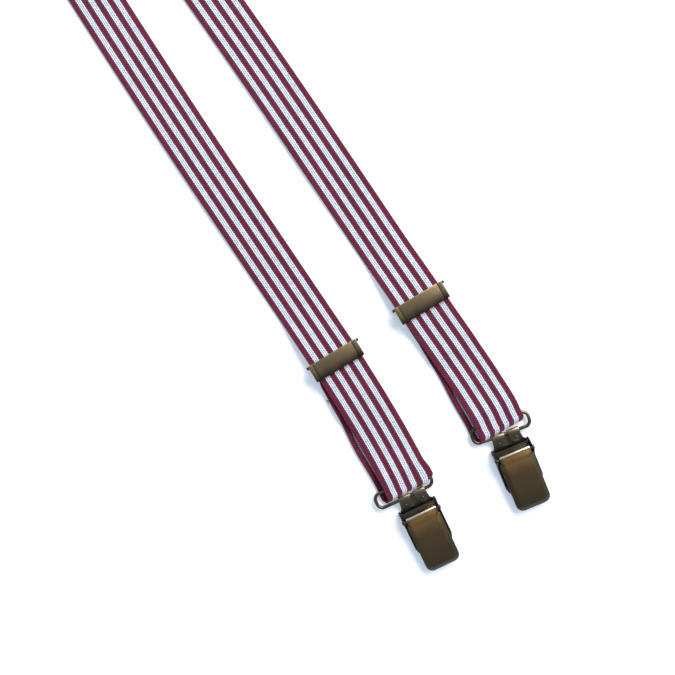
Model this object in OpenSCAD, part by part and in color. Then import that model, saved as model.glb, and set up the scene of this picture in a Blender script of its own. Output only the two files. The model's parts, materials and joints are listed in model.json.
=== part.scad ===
// Y-back elastic suspenders laid out flat: two front straps with length adjusters and
// clips, a leather back patch, and one back strap with its own clip.
// X runs across, the shoulders are towards +Y, the front clips towards -Y, +Z is up.

/* [Straps] */
// Width of the elastic webbing
strap_w = 25; // [24:0.5:25]
// Thickness of the elastic webbing
strap_t = 1.2; // [1:0.1:1.2]
// Distance between the centre lines of the two front straps
strap_spacing = 52; // [48:1:70]
// From the adjusters up to the back patch
shoulder_run = 640; // [500:10:760]
// From the back patch to the fold of the back strap
back_run = 230; // [150:10:300]
// From an adjuster down to the fold that holds the clip ring
loop_run = 76.6; // [74:0.2:80]
// Length of the tail sewn back after it rounds a bar
tail_len = 20; // [14:1:22]

/* [Back patch] */
// Length of the leather patch
patch_l = 72; // [66:1:80]
// Width of the patch where the two front straps enter it
patch_w = 60; // [58:1:70]
// Width of the patch where the back strap leaves it
patch_tail_w = 33; // [31:1:40]
// Thickness of each leather layer
leather_t = 1.2; // [1:0.1:1.4]
// Pitch of the stitches round the patch
stitch_pitch = 3.6; // [3:0.2:5]

/* [Length adjuster] */
// Width of the adjuster's flip lever
adj_w = 28; // [28:0.1:29]
// Length of the flip lever along the strap
adj_l = 9.1; // [8.5:0.1:10]
// Diameter of the adjuster's hinge pin
adj_pin_d = 1.2; // [1:0.1:1.2]
// Turn of both adjusters on their straps
adj_turn = -3; // [-3:1:3]

/* [Clip ring] */
// Outer width of the wire ring
ring_w = 32; // [31.6:0.1:33]
// Outer height of the wire ring
ring_h = 9.2; // [9:0.1:9.6]
// Diameter of the ring's wire
ring_wire = 1.6; // [1.4:0.1:1.6]

/* [Clip] */
// Outer width of the clip across its ears
clip_w = 20.4; // [20:0.1:21]
// From the ring's lower bar to the tip of the lever
clip_l = 39.6; // [38:0.1:41]
// Thickness of the stamped sheet
sheet_t = 0.7; // [0.6:0.05:0.8]
// Width of the lever at its rolled top edge
lever_top_w = 16.4; // [16:0.1:16.8]
// Width of the lever at its tip
lever_tip_w = 18; // [17.6:0.1:18.2]
// Diameter of the lever's hinge pin
pin_d = 1.2; // [1:0.1:1.2]

/* [Hidden] */
$fn = 48;
LEFT = -1;
RIGHT = 1;

// Middle of the whole outline, measured from the point between the two adjusters
mid_x = -3.2;
mid_y = (shoulder_run + patch_l - 30 + back_run - loop_run) / 2;

// Running clearance of every pin, and the gap left between faces that move
pin_fit = 0.05;
gap = 0.1;

// Heights of the middle of the webbing where it lies on the floor, on one more layer,
// over the bar of an adjuster, and above and below the bar of a ring
ring_z = 2.3;
z_floor = strap_t / 2;
z_second = strap_t * 1.5 + 0.1;
z_third = strap_t * 2.5 + 0.15;
z_bar_top = 2.75;
z_adjuster = 4.0;
fold_r = 1 + strap_t / 2;
z_over_ring = ring_z + fold_r;
z_under_ring = ring_z - fold_r;
fold_stub = 10;

// Lengths along an adjuster, measured from its middle, positive towards the shoulder
bar_y = -3.4;
tail_y = bar_y - tail_len;
return_y = -6;
tail_turn_r = (z_bar_top - 0.65) / 2;

// Where the fold of each loop lies, how far it is turned, and how the ring and clip sit
bar_gap = ring_h - ring_wire;
fold_turn = [-5, -4];
ring_turn = [-8.5, -14];
clip_turn = [-8.5, -11.5];
fold_on_ring = [[1.0, 2.05], [0.8, 3.0]];
clip_on_ring = [0.2, 1.2];
fold_x = [-31.3, 24.6];

function side_index(side) = side == LEFT ? 0 : 1;
function clamp01(t) = min(1, max(0, t));
function ease(t) = let (u = clamp01(t)) u * u * (3 - 2 * u);
function turned(v, a) = [v[0] * cos(a) - v[1] * sin(a), v[0] * sin(a) + v[1] * cos(a)];

// Sideways place of a front strap's centre line at height y above the adjusters
function strap_x(side, y) =
  let (i = side_index(side), d = clamp01(-y / loop_run), start = side * strap_spacing / 2)
  y >= 0
    ? side * (strap_spacing / 2 - (strap_spacing / 2 - strap_w / 2 - 0.3)
      * ease((y - 100) / (shoulder_run - 100)))
    : start + side * (side == LEFT ? 2.1 : 1.7) * d
      + (fold_x[i] - start - side * (side == LEFT ? 2.1 : 1.7)) * pow(d, side == LEFT ? 3 : 5);

// Turn of the webbing's cross direction, growing to the turn of the fold
function strap_turn(side, y) =
  fold_turn[side_index(side)] * ease((-y - 20) / (loop_run - 20 - fold_stub));

// A ribbon of webbing swept along stations [x, y, z, turn, tilt]: turn is about Z, and
// tilt is the slope of the path in the plane across the ribbon
function ribbon_ring(s, w, t) =
  let (
    across = [cos(s[3]), sin(s[3]), 0] * w / 2,
    up = [sin(s[3]) * sin(s[4]), -cos(s[3]) * sin(s[4]), cos(s[4])] * t / 2,
    c = [s[0], s[1], s[2]]
  )
  [c - across - up, c + across - up, c + across + up, c - across + up];

module ribbon(path, w = strap_w, t = strap_t) {
  n = len(path);
  points = [for (s = path) each ribbon_ring(s, w, t)];
  walls = [
    for (i = [0:n - 2]) for (k = [0:3])
      let (a = 4 * i + k, b = 4 * i + (k + 1) % 4)
      each [[a, a + 4, b + 4], [a, b + 4, b]]
  ];
  last = 4 * (n - 1);
  ends = [
    [0, 1, 2], [0, 2, 3],
    [last, last + 2, last + 1], [last, last + 3, last + 2]
  ];
  polyhedron(points = points, faces = concat(ends, walls), convexity = 6);
}

// Stations of a layer of a front strap from y0 down to y1, with heights from a table
function layer_path(side, y0, y1, heights, step = 2) =
  let (n = ceil(abs(y1 - y0) / step))
  [for (i = [0:n])
    let (
      y = y0 + (y1 - y0) * i / n,
      z = height_at(heights, y),
      slope = atan((height_at(heights, y + 0.2) - height_at(heights, y - 0.2)) / 0.4)
    )
    [strap_x(side, y), y, z, strap_turn(side, y), i == 0 || i == n ? 0 : slope]
  ];

// Height at y from a list of [y, z] knots that fall in y, eased between the knots
function height_at(knots, y) =
  let (
    n = len(knots),
    found = [for (i = [0:n - 2]) if (y <= knots[i][0] && y > knots[i + 1][0]) i]
  )
  y > knots[0][0] ? knots[0][1]
    : len(found) == 0 ? knots[n - 1][1]
    : let (a = knots[found[0]], b = knots[found[0] + 1])
      a[1] + (b[1] - a[1]) * ease((y - a[0]) / (b[0] - a[0]));

// Heights of the webbing's middle along each layer of a front strap
patch_z = leather_t + 0.05 + strap_t / 2;
shoulder_heights = [
  [shoulder_run, patch_z], [shoulder_run - 40, z_floor],
  [34, z_floor], [5, z_adjuster], [-1, z_adjuster]
];
front_heights = [
  [1, z_adjuster], [return_y, z_adjuster], [-14, z_third], [tail_y - 1, z_third],
  [tail_y - 14, z_second], [-54, z_second], [fold_stub - loop_run, z_over_ring]
];
return_heights = [
  [return_y, z_bar_top], [-10, z_second], [tail_y - 1, z_second], [tail_y - 8, z_floor],
  [-54, z_floor], [fold_stub - loop_run, z_under_ring]
];

// ---- places ------------------------------------------------------------------
module layout() translate([-mid_x, -mid_y, 0]) children();
module at_adjuster(side)
  layout() translate([side * strap_spacing / 2, -0.5, 0])
    rotate([0, 0, adj_turn]) children();

// Frame of a fold: origin at the lowest point of the fold, +y back up the strap
module at_fold(side)
  layout() translate([fold_x[side_index(side)], -loop_run, 0])
    rotate([0, 0, fold_turn[side_index(side)]]) children();

// Frame of a ring: origin at the middle of its lower bar
function ring_place(side) =
  let (i = side_index(side), off = turned(fold_on_ring[i], ring_turn[i]))
  [fold_x[i] - off[0], -loop_run - off[1]];
module at_ring(side)
  layout() translate([ring_place(side)[0], ring_place(side)[1], 0])
    rotate([0, 0, ring_turn[side_index(side)]]) children();
module at_clip(side)
  at_ring(side) translate([clip_on_ring[side_index(side)], 0, 0])
    rotate([0, 0, clip_turn[side_index(side)] - ring_turn[side_index(side)]]) children();

back_fold_y = shoulder_run + patch_l - 30 + back_run;
back_ring_y = back_fold_y + 2.4;
module at_back_ring() layout() translate([0, back_ring_y, 0]) rotate([0, 0, 180]) children();

// ---- webbing -----------------------------------------------------------------
burgundy = "#7d1a3c";
module strap(side) color(burgundy) layout()
  ribbon(concat(
    layer_path(side, shoulder_run + 36, 100, shoulder_heights, 20),
    [for (s = layer_path(side, 100, 0, shoulder_heights, 3)) if (s[1] < 99.9) s]
  ));
module loop_front(side) color(burgundy) layout()
  ribbon(layer_path(side, 0, fold_stub - loop_run, front_heights));
module loop_return(side) color("#5d1430") layout()
  ribbon(layer_path(side, return_y, fold_stub - loop_run, return_heights));

// Stations of the fold round a ring's bar, seen in the fold's own frame
function fold_path(stub) = concat(
  [[0, stub, z_over_ring, 0, 0]],
  [for (i = [0:12]) let (a = 90 + 15 * i)
    [0, fold_r + strap_t / 2 + fold_r * cos(a), ring_z + fold_r * sin(a), 0, 180 + a + 90]],
  [[0, stub, z_under_ring, 0, 180]]
);
// The two ends of the fold meet the layers of the loop
function fold_end(side) =
  let (i = side_index(side), y = fold_stub)
  turned([strap_x(side, y - loop_run) - fold_x[i], y], -fold_turn[i]);
module loop_fold(side) color(burgundy) at_fold(side)
  let (e = fold_end(side), p = fold_path(e[1]))
  ribbon([for (k = [0:len(p) - 1]) let (s = p[k], f = ease((s[1] - 3) / (e[1] - 3)))
    [e[0] * f, s[1], s[2], s[3], s[4]]]);

// The end of the webbing rounds the adjuster's bar and is sewn back as a tail
function sewn_path(side) = concat(
  [[strap_x(side, return_y), return_y, z_bar_top, 0, 0],
   [strap_x(side, return_y), bar_y - 1, z_bar_top, adj_turn, 0]],
  [for (i = [0:10]) let (a = 90 - 18 * i)
    [strap_x(side, return_y), bar_y + tail_turn_r * cos(a),
     z_bar_top - tail_turn_r + tail_turn_r * sin(a), adj_turn, a - 90]],
  [[strap_x(side, return_y), bar_y - 4, z_floor, 0, 180],
   [strap_x(side, tail_y), tail_y, z_floor, 0, 180]]
);
module sewn_end(side) color("#5d1430") layout() ribbon(sewn_path(side));
module end_stitching(side) color("#e9eef2") layout()
  for (i = [-4:4]) for (row = [0, 2])
    translate([strap_x(side, tail_y + 5) + i * 2.5, tail_y + 3 + row, 0.15])
      cylinder(d = 0.5, h = z_second + strap_t / 2 - 0.15);

module back_strap() color(burgundy) layout()
  let (y0 = shoulder_run + 38, y1 = back_fold_y, tail = 30)
  ribbon(concat(
    [[0, y0, patch_z, 0, 0], [0, y0 + 34, patch_z, 0, 0], [0, y0 + 46, z_floor, 0, 0],
     [0, y1 - tail - 12, z_floor, 0, 0], [0, y1 - tail, z_second, 0, 0],
     [0, y1 - 18, z_second, 0, 0], [0, y1 - fold_stub, z_over_ring, 0, 0]],
    [for (i = [0:12]) let (a = 90 - 15 * i)
      [0, y1 - fold_r - strap_t / 2 + fold_r * cos(a), ring_z + fold_r * sin(a), 0, a - 90]],
    [[0, y1 - fold_stub, z_under_ring, 0, 180], [0, y1 - 16, z_floor, 0, 180],
     [0, y1 - tail, z_floor, 0, 180]]
  ));
module back_end_stitching() color("#e9eef2") layout()
  for (i = [-4:4]) for (row = [0, 2])
    translate([i * 2.5, back_fold_y - 25 + row, 0.15])
      cylinder(d = 0.5, h = z_second + strap_t / 2 - 0.15);

// ---- back patch --------------------------------------------------------------
patch_y0 = shoulder_run - 2;
function patch_outline(inset) =
  let (
    top = patch_w / 2 - inset, low = patch_tail_w / 2 - inset,
    y0 = patch_y0 + inset, y1 = patch_y0 + patch_l - inset, waist = patch_y0 + 0.42 * patch_l
  )
  [[-top, y0], [top, y0], [top, waist - 8], [top - 1.5, waist], [low, y1 - 6], [low - 4, y1],
   [-low + 4, y1], [-low, y1 - 6], [-top + 1.5, waist], [-top, waist - 8]];
module patch_sheet(z, t)
  translate([0, 0, z]) linear_extrude(t) polygon(patch_outline(0));
module patch_lining() color("#5b2f22") layout() patch_sheet(0, leather_t);
module patch_leather() color("#6b3a29") layout()
  patch_sheet(leather_t + strap_t + 0.1, leather_t);

// Stitches laid end to end along the patch's outline, just inside its edge
module patch_stitching() color("#e3cfae") layout()
  let (p = patch_outline(2.6), n = len(p), z = 2 * leather_t + strap_t + 0.1)
  for (i = [0:n - 1])
    let (a = p[i], b = p[(i + 1) % n], run = norm(b - a), count = max(1, floor(run / stitch_pitch)))
    for (k = [0:count - 1])
      translate([each (a + (b - a) * (k + 0.5) / count), z])
        rotate([0, 0, atan2(b[1] - a[1], b[0] - a[0])])
          translate([-0.36 * run / count, -0.3, 0]) cube([0.72 * run / count, 0.6, 0.3]);

// ---- length adjuster ---------------------------------------------------------
brass = "#7a6545";
adj_pin_y = 3.5;
adj_pin_z = 5.75;
adj_frame_z = 1.3;
adj_frame_t = 0.8;
ear_t = 0.5;
ear_x = strap_w / 2 + 0.4;
module along_x(length, d) rotate([0, 90, 0]) cylinder(d = d, h = length, center = true);

// A plate across X cut from an outline in the Y-Z plane
module side_plate(x0, width) translate([x0, 0, 0]) rotate([90, 0, 90]) linear_extrude(width)
  children();

module adjuster_ear() difference() {
  union() {
    polygon([[0.8, adj_frame_z], [4.6, adj_frame_z], [adj_pin_y + 0.9, adj_pin_z],
      [adj_pin_y - 0.9, adj_pin_z], [0.8, 3]]);
    translate([adj_pin_y, adj_pin_z]) circle(d = 1.8);
  }
  translate([adj_pin_y, adj_pin_z]) circle(d = adj_pin_d + 2 * pin_fit);
}
module adjuster_frame(side) color("#6b5a3e") at_adjuster(side) {
  difference() {
    translate([-ear_x - ear_t, -5, adj_frame_z])
      cube([2 * (ear_x + ear_t), 9.6, adj_frame_t]);
    translate([-strap_w / 2 - 0.7, bar_y + 0.5, adj_frame_z - 1])
      cube([strap_w + 1.4, 2.6, adj_frame_t + 2]);
  }
  side_plate(ear_x, ear_t) adjuster_ear();
  side_plate(-ear_x - ear_t, ear_t) adjuster_ear();
}

// The flip lever: a plate with a rolled upper edge round the pin and a flange at each end
module adjuster_lever(side) color(brass) at_adjuster(side) {
  side_plate(-adj_w / 2, adj_w)
    polygon([[4.5, 6.75], [4.7, 7.0], [4.4, 7.35], [-adj_l / 2 + 0.3, 6.65],
      [-adj_l / 2, 6.4], [-adj_l / 2 + 0.1, 6.05], [2.2, 6.75]]);
  difference() {
    translate([0, adj_pin_y, adj_pin_z]) along_x(2 * ear_x - 2 * gap, 2.2);
    translate([0, adj_pin_y, adj_pin_z]) along_x(adj_w, adj_pin_d + 2 * pin_fit);
  }
  side_plate(-ear_x + gap, 2 * ear_x - 2 * gap)
    polygon([[adj_pin_y - 0.9, adj_pin_z + 0.8], [adj_pin_y + 0.9, adj_pin_z + 0.8],
      [4.3, 6.9], [2.3, 6.9]]);
  for (x = [-adj_w / 2, adj_w / 2 - 0.5])
    side_plate(x, 0.5) difference() {
      polygon([[-adj_l / 2 + 0.1, 6.1], [-3.6, 5.3], [4.3, 5.0], [4.6, 6.9], [2.2, 6.9]]);
      translate([adj_pin_y, adj_pin_z]) circle(d = adj_pin_d + 2 * pin_fit);
    }
}
module adjuster_pin(side) color("#4d3f2c") at_adjuster(side)
  translate([0, adj_pin_y, adj_pin_z]) {
    along_x(adj_w + 0.4, adj_pin_d);
    for (s = [-1, 1]) translate([s * (adj_w / 2 + 0.55), 0, 0]) along_x(0.9, 1.6);
  }

// ---- clip --------------------------------------------------------------------
clip_half = clip_w / 2;
flange_t = 0.8;
ear_in = clip_half - flange_t;
pin_u = 10.9;
pin_z = 5.2;
lug_u = 7.4;
lug_z = 2.2;
tab_r = ring_wire / 2 + gap + 0.6;
tab_half = 6.9;
notch_half = 1.7;
base_tip = 30.2;

// The wire ring: two bars joined by round corners
ring_corner = 3;
module clip_ring() color("#6d5b3f") {
  half = ring_w / 2 - ring_wire / 2 - ring_corner;
  rise = bar_gap - 2 * ring_corner;
  for (y = [0, bar_gap]) translate([0, y, ring_z]) along_x(2 * half, ring_wire);
  for (s = [-1, 1]) translate([s * (half + ring_corner), ring_corner, ring_z])
    rotate([-90, 0, 0]) cylinder(d = ring_wire, h = rise);
  for (c = [[half, ring_corner, 270], [half, ring_corner + rise, 0],
            [-half, ring_corner + rise, 90], [-half, ring_corner, 180]])
    translate([c[0], c[1], ring_z]) rotate([0, 0, c[2]])
      rotate_extrude(angle = 90) translate([ring_corner, 0]) circle(d = ring_wire);
}

// Outline of the base in plan, with its two tabs at the ring
module base_plan() difference() {
  polygon([[-tab_half, 0], [tab_half, 0], [tab_half + 0.2, -3], [ear_in, -6.2],
    [ear_in, -28.4], [7.6, -base_tip], [-7.6, -base_tip], [-ear_in, -28.4], [-ear_in, -6.2],
    [-tab_half - 0.2, -3]]);
  translate([-notch_half, -3.2]) square([2 * notch_half, 4]);
  translate([0, -3.2]) circle(r = notch_half);
}
module base_profile()
  polygon([[0, ring_z - tab_r], [-4.5, ring_z - tab_r], [-7, 0], [-base_tip, 0],
    [-base_tip, sheet_t], [-7.2, sheet_t], [-5, ring_z - tab_r + 0.6],
    [0, ring_z - tab_r + 0.6]]);
// The flap that comes over the ring and is pressed down on the base
module flap_profile()
  polygon([[0, ring_z + tab_r - 0.6], [0, ring_z + tab_r], [-0.9, ring_z + tab_r - 0.15],
    [-5.2, 2.05], [-5.6, 1.4], [-4.6, 1.35], [-0.9, ring_z + tab_r - 0.75]]);
module ear_profile() difference() {
  union() {
    polygon([[-5.6, 0], [-28.4, 0], [-29.6, 1.4], [-27.4, 2.6], [-14.6, 2.7],
      [-pin_u - 1.9, pin_z], [-pin_u + 1.9, pin_z], [-5.6, 2.6]]);
    translate([-pin_u, pin_z]) circle(r = 1.9);
    translate([-lug_u, lug_z]) circle(r = 1.3);
  }
  translate([-pin_u, pin_z]) circle(d = pin_d + 2 * pin_fit);
  translate([-lug_u, lug_z]) circle(d = pin_d + 2 * pin_fit);
}
module clip_base(skew) color("#5c4b33") {
  difference() {
    intersection() {
      translate([0, 0, -1]) linear_extrude(8) base_plan();
      union() {
        side_plate(-clip_half, clip_w) base_profile();
        side_plate(-clip_half, clip_w) flap_profile();
      }
    }
    rotate([0, 0, skew]) translate([0, 0, ring_z]) along_x(30, ring_wire + 2 * gap);
  }
  for (s = [-1, 1]) rotate([0, 0, skew])
    translate([s * (tab_half + notch_half) / 2, 0, ring_z]) difference() {
      along_x(tab_half - notch_half, 2 * tab_r);
      along_x(tab_half, ring_wire + 2 * gap);
    }
  side_plate(ear_in, flange_t) ear_profile();
  side_plate(-clip_half, flange_t) ear_profile();
  for (u = [28.3, 29.4]) side_plate(-7, 14)
    polygon([[-u - 0.45, sheet_t], [-u, sheet_t + 0.6], [-u + 0.45, sheet_t]]);
}

// The front jaw turns on two lugs in the base's ears
jaw_half = ear_in - 0.4;
module clip_jaw() color("#5c4b33") {
  side_plate(-jaw_half, 2 * jaw_half)
    polygon([[-lug_u + 0.3, lug_z + 0.4], [-lug_u - 0.3, lug_z - 0.3], [-13, 1.95],
      [-17, 2.65], [-28.6, 2.65], [-29.3, 1.65], [-base_tip, 1.55],
      [-base_tip, 2.9], [-29.6, 3.35], [-17, 3.35], [-12.5, 2.6]]);
  for (s = [-1, 1]) translate([s * (jaw_half + clip_half - 0.1) / 2, -lug_u, lug_z])
    along_x(clip_half - 0.1 - jaw_half + 0.6, pin_d);
}
module pad(z, t) color("#1d1b1a")
  translate([-7.4, -26.8, z]) cube([14.8, 6, t]);
module back_pad() pad(sheet_t, 0.8);
module front_pad() pad(1.85, 0.8);

// The lever: a shallow stamped cover with rounded lower corners and a rolled top edge
lever_top_u = 9.6;
module lever_plan(inset)
  let (
    top = lever_top_w / 2 - inset, tip = lever_tip_w / 2 - inset, y1 = -clip_l + inset,
    r = 3.2 - inset
  )
  intersection() {
    polygon([[-top, -lever_top_u], [top, -lever_top_u], [tip, -14], [tip, -clip_l - 1],
      [-tip, -clip_l - 1], [-tip, -14]]);
    union() {
      translate([-tip, y1 + r + 1.3]) square([2 * tip, clip_l]);
      for (s = [-1, 1]) translate([s * (tip - r), y1 + r + 1.3]) circle(r = r);
      intersection() {
        translate([-tip + r, y1 - 1]) square([2 * (tip - r), 8]);
        translate([0, y1 + 34]) circle(r = 34, $fn = 96);
      }
    }
  }
function lever_roof(inset) =
  [[-lever_top_u, 6.9 - inset], [-14, 7.2 - inset], [-24, 6.7 - inset],
   [-clip_l + 2, 5.2 - inset], [-clip_l + inset, 4.5 - inset]];
module lever_profile()
  polygon(concat([[-lever_top_u, 5]], lever_roof(0), [[-clip_l, 2.9], [-clip_l + 4, 2.9],
    [-31.5, 3.9], [-20, 4.3], [-14.5, 4.6], [-12.4, 4.3]]));
module lever_hollow()
  polygon(concat([[-12.4, 0], [-12.4, 6.4]],
    [for (p = lever_roof(sheet_t)) if (p[0] < -12.4) p], [[-clip_l + sheet_t, 0]]));
module clip_lever() color("#4a3d28") {
  difference() {
    union() {
      intersection() {
        translate([0, 0, -1]) linear_extrude(12) lever_plan(0);
        side_plate(-clip_half, clip_w) lever_profile();
      }
      translate([0, -pin_u, pin_z]) along_x(lever_top_w - 0.4, 2.6);
      side_plate(-3, 6)
        polygon([[-pin_u - 0.6, pin_z - 1], [-pin_u - 0.35, 3.4], [-pin_u + 0.35, 3.4],
          [-pin_u + 0.6, pin_z - 1]]);
    }
    intersection() {
      translate([0, 0, -1]) linear_extrude(12) lever_plan(sheet_t);
      side_plate(-clip_half, clip_w) lever_hollow();
    }
    translate([0, -pin_u, pin_z]) along_x(clip_w, pin_d + 2 * pin_fit);
  }
  translate([0, -lever_top_u - 0.1, 6.35]) along_x(lever_top_w, 1.3);
}
module clip_pin() color("#8a7650")
  translate([0, -pin_u, pin_z]) {
    along_x(clip_w + 0.2, pin_d);
    for (s = [-1, 1]) translate([s * (clip_half + 0.3), 0, 0]) along_x(0.4, 1.9);
  }

// ---- nodes -------------------------------------------------------------------
skew = ring_turn - clip_turn;

strap(LEFT);  // left_strap
loop_front(LEFT);  // left_loop_front
loop_return(LEFT);  // left_loop_return
loop_fold(LEFT);  // left_loop_fold
sewn_end(LEFT);  // left_sewn_end
end_stitching(LEFT);  // left_end_stitching
adjuster_frame(LEFT);  // left_adjuster_frame
adjuster_lever(LEFT);  // left_adjuster_lever
adjuster_pin(LEFT);  // left_adjuster_pin
at_ring(LEFT) clip_ring();  // left_clip_ring
at_clip(LEFT) clip_base(skew[0]);  // left_clip_base
at_clip(LEFT) clip_pin();  // left_clip_pin
at_clip(LEFT) back_pad();  // left_back_pad
at_clip(LEFT) clip_jaw();  // left_clip_jaw
at_clip(LEFT) front_pad();  // left_front_pad
at_clip(LEFT) clip_lever();  // left_clip_lever
strap(RIGHT);  // right_strap
loop_front(RIGHT);  // right_loop_front
loop_return(RIGHT);  // right_loop_return
loop_fold(RIGHT);  // right_loop_fold
sewn_end(RIGHT);  // right_sewn_end
end_stitching(RIGHT);  // right_end_stitching
adjuster_frame(RIGHT);  // right_adjuster_frame
adjuster_lever(RIGHT);  // right_adjuster_lever
adjuster_pin(RIGHT);  // right_adjuster_pin
at_ring(RIGHT) clip_ring();  // right_clip_ring
at_clip(RIGHT) clip_base(skew[1]);  // right_clip_base
at_clip(RIGHT) clip_pin();  // right_clip_pin
at_clip(RIGHT) back_pad();  // right_back_pad
at_clip(RIGHT) clip_jaw();  // right_clip_jaw
at_clip(RIGHT) front_pad();  // right_front_pad
at_clip(RIGHT) clip_lever();  // right_clip_lever
back_strap();
back_end_stitching();
at_back_ring() clip_ring();  // back_clip_ring
at_back_ring() clip_base(0);  // back_clip_base
at_back_ring() clip_pin();  // back_clip_pin
at_back_ring() back_pad();  // back_back_pad
at_back_ring() clip_jaw();  // back_clip_jaw
at_back_ring() front_pad();  // back_front_pad
at_back_ring() clip_lever();  // back_clip_lever
patch_lining();
patch_leather();
patch_stitching();
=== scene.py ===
# %% [markdown]
# # Suspenders laid out flat
# This lesson dresses a finished working model of a pair of Y-back suspenders: two striped
# elastic straps with brass adjusters and clips, a leather patch, and a back strap with its
# own clip. The working model fixes every size, place and hinge. Here each part gets the
# shape and the finish that the eye sees, and it is tied to the body that it moves with.
# We load the model first and look up its hinges, because every new piece is placed by them.

# %% Load the working model
import bisect
import json
import math

import bmesh
import bpy
from mathutils import Matrix, Vector


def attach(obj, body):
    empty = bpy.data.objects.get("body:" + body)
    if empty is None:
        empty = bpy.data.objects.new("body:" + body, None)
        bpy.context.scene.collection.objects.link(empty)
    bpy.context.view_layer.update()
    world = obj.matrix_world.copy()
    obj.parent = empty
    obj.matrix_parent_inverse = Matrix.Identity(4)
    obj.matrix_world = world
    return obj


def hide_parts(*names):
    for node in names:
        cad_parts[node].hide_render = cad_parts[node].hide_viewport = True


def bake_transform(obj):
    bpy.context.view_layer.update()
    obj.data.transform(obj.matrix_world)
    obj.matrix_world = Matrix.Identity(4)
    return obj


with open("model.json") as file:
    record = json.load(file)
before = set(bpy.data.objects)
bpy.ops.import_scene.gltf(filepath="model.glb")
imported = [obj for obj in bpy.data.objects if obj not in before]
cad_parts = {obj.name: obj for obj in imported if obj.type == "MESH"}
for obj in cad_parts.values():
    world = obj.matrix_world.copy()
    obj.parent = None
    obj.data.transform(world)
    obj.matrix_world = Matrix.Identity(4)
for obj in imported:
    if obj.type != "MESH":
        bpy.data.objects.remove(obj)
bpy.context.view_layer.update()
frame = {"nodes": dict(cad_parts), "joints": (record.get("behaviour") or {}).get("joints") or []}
JOINTS = {joint["name"]: joint for joint in frame["joints"]}
MM = 0.001

# %% [markdown]
# The fittings are small and all turn on hinges, so each hinge gives a little frame of its
# own: X across the fitting, Y back up the strap, and the origin on the floor. A fitting is
# modelled once at the world's origin, and these matrices then set it down in its place.

# %% Frames of the fittings
RING_Z = 2.3 * MM
LEVER_PIVOT = Vector((0, -10.9, 5.2)) * MM
ADJUSTER_PIVOT = Vector((0, 3.5, 5.75)) * MM
SIDES = ("left", "right")
ENDS = ("left", "right", "back")


def hinge_frame(joint_name, pivot):
    """Frame of a fitting whose hinge is at pivot, in the fitting's own measures."""
    across = -Vector(JOINTS[joint_name]["axis"])
    along = Vector((-across.y, across.x, 0))
    turn = Matrix((across, along, (0, 0, 1))).transposed()
    origin = Vector(JOINTS[joint_name]["pos_m"]) - turn @ pivot
    return Matrix.Translation(origin) @ turn.to_4x4()


RING_FRAME = {end: hinge_frame(f"{end}_clip_swing", Vector((0, 0, RING_Z))) for end in ENDS}
CLIP_FRAME = {end: hinge_frame(f"{end}_clip_lever_flip", LEVER_PIVOT) for end in ENDS}
ADJUSTER_FRAME = {side: hinge_frame(f"{side}_adjuster_flip", ADJUSTER_PIVOT) for side in SIDES}
MIDDLE = sum((ADJUSTER_FRAME[side].translation for side in SIDES), Vector()) / 2
LAYOUT = Vector((MIDDLE.x, MIDDLE.y + 0.5 * MM, 0))
print("point between the adjusters:", [round(value, 4) for value in LAYOUT])


def laid_at(x, y, z=0):
    """A place given in millimetres from the point between the adjusters."""
    return LAYOUT + Vector((x, y, z)) * MM


# %% [markdown]
# The camera looks straight down on the two clips and the adjusters, turned so that the
# straps run up to the left. A camera's own X is the picture's right and its own Y is the
# picture's top, so its matrix is written from those two directions.

# %% Camera
VIEW_TURN = math.radians(-34)
VIEW_HEIGHT = 450 * MM
VIEW_WIDTH = 344.4 * MM
SENSOR = 36
camera = bpy.data.objects.new("camera", bpy.data.cameras.new("camera"))
bpy.context.collection.objects.link(camera)
camera.data.sensor_width = SENSOR
camera.data.lens = SENSOR * VIEW_HEIGHT / VIEW_WIDTH
view_centre = laid_at(-19.0, 8.6)
camera.matrix_world = (Matrix.Translation(view_centre + Vector((0, 0, VIEW_HEIGHT)))
                       @ Matrix.Rotation(VIEW_TURN, 4, "Z"))
bpy.context.scene.camera = camera
bpy.context.scene.view_settings.view_transform = "Standard"
print("lens:", round(camera.data.lens, 1), "mm")

# %% [markdown]
# A white sheet of card and soft daylight suit small bright goods. One broad window stands
# low on the right, so every edge throws a short soft shadow to the left. The world fills
# the shadows with a cool tint. A smaller light beyond the straps puts the bright line on
# the rolled edges of the metal.

# %% Floor and light
def image_direction(right, up, height):
    """A direction given as the picture sees it, turned into the model's frame."""
    return Matrix.Rotation(VIEW_TURN, 3, "Z") @ Vector((right, up, height))


def add_window(name, direction, distance, size, power, colour):
    lamp = bpy.data.objects.new(name, bpy.data.lights.new(name, "AREA"))
    bpy.context.collection.objects.link(lamp)
    lamp.data.shape = "RECTANGLE"
    lamp.data.size, lamp.data.size_y = size
    lamp.data.energy = power
    lamp.data.color = colour
    lamp.location = view_centre + direction.normalized() * distance
    lamp.rotation_mode = "QUATERNION"
    lamp.rotation_quaternion = direction.to_track_quat("Z", "Y")
    return lamp


add_window("window", image_direction(0.78, 0.8, 0.92), 2.2, (1.9, 1.3), 50, (1.0, 0.985, 0.95))
add_window("far_light", image_direction(0.2, 1.0, 0.8), 2.4, (1.3, 0.5), 26, (1.0, 0.97, 0.93))
world = bpy.data.worlds.new("daylight")
world.use_nodes = True
world.node_tree.nodes["Background"].inputs["Color"].default_value = (0.74, 0.85, 1.0, 1)
world.node_tree.nodes["Background"].inputs["Strength"].default_value = 0.5
bpy.context.scene.world = world
bpy.ops.object.select_all(action="DESELECT")
bpy.ops.mesh.primitive_plane_add(size=8, location=(LAYOUT.x, LAYOUT.y, -0.05 * MM))
floor = bpy.context.object
floor.name = "floor"

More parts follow.
